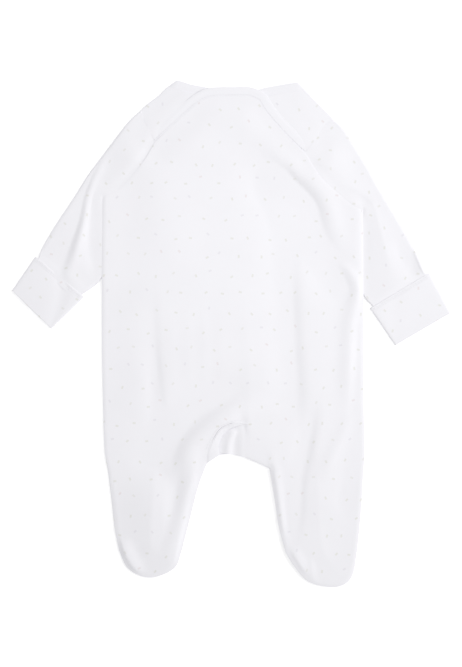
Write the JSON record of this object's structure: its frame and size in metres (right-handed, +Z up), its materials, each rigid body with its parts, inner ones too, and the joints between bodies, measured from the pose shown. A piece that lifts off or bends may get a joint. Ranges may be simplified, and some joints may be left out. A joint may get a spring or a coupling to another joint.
{
  "type": "footed baby sleepsuit",
  "caption": "Footed baby sleepsuit laid flat on its front, with lapped shoulders, turned-back cuffs and an inner-leg popper opening.",
  "frame": {"origin": "middle of the suit's outline, on the surface that it lies on", "axes": "+Z up through the back of the suit, +Y from the feet to the neck, -X towards the wearer's left hand"},
  "size_m": [0.4386, 0.5071, 0.0068],
  "materials": {
    "jersey": "matt white cotton interlock with a sparse print of tiny pale dashes",
    "binding": "plain white folded cotton binding with one row of stitching",
    "placket": "white cotton facing, stitched along its seam",
    "popper": "white enamelled snap cap"
  },
  "bodies": {
    "root": {"back_panel": "jersey", "front_panel": "jersey", "sleeve_left": "jersey", "cuff_left": "jersey", "sleeve_right": "jersey", "cuff_right": "jersey", "back_neck_binding": "binding", "front_neck_binding": "binding", "back_placket": "placket", "front_placket": "placket", "popper_1": "popper", "popper_2": "popper", "popper_3": "popper", "popper_4": "popper", "popper_5": "popper", "popper_6": "popper", "popper_7": "popper", "popper_8": "popper", "popper_9": "popper"}
  },
  "joints": []
}
